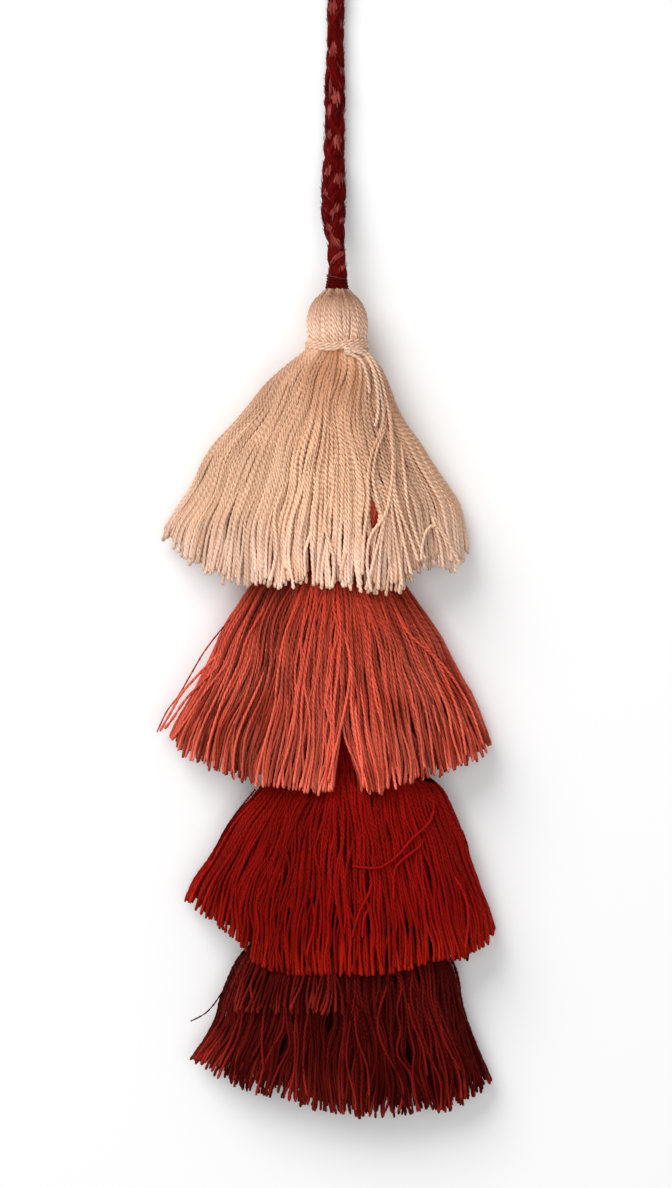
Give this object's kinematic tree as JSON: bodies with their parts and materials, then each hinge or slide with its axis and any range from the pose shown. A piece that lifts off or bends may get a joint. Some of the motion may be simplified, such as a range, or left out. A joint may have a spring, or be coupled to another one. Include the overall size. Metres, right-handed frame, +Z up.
{
  "type": "tassel zipper pull",
  "caption": "Long yarn tassel with stacked skirts in peach, coral, red and maroon under a wound ball head, on a two-colour braided cord that ends in a small hanging loop.",
  "frame": {"origin": "on the surface that the tassel lies on, under the middle of the box round the head, whipping, binding and skirts", "axes": "+Y along the tassel from the hems to the hanging loop, +X to its right seen from above, +Z up from the surface"},
  "size_m": [0.0658, 0.248, 0.0176],
  "materials": {
    "peach_yarn": "twisted cotton yarn with a soft sheen",
    "coral_yarn": "twisted cotton yarn with a soft sheen",
    "red_yarn": "twisted cotton yarn, matt",
    "maroon_yarn": "twisted cotton yarn, matt",
    "burgundy_braid": "braided cotton yarn, slightly fuzzy, with rose flecks"
  },
  "bodies": {
    "root": {"head": "peach_yarn", "neck_binding": "peach_yarn", "tier_peach": "peach_yarn", "tier_coral": "coral_yarn", "tier_red": "red_yarn", "tier_maroon": "maroon_yarn", "cord_whipping": "burgundy_braid", "braided_cord": "burgundy_braid", "hanging_loop": "burgundy_braid"}
  },
  "joints": []
}
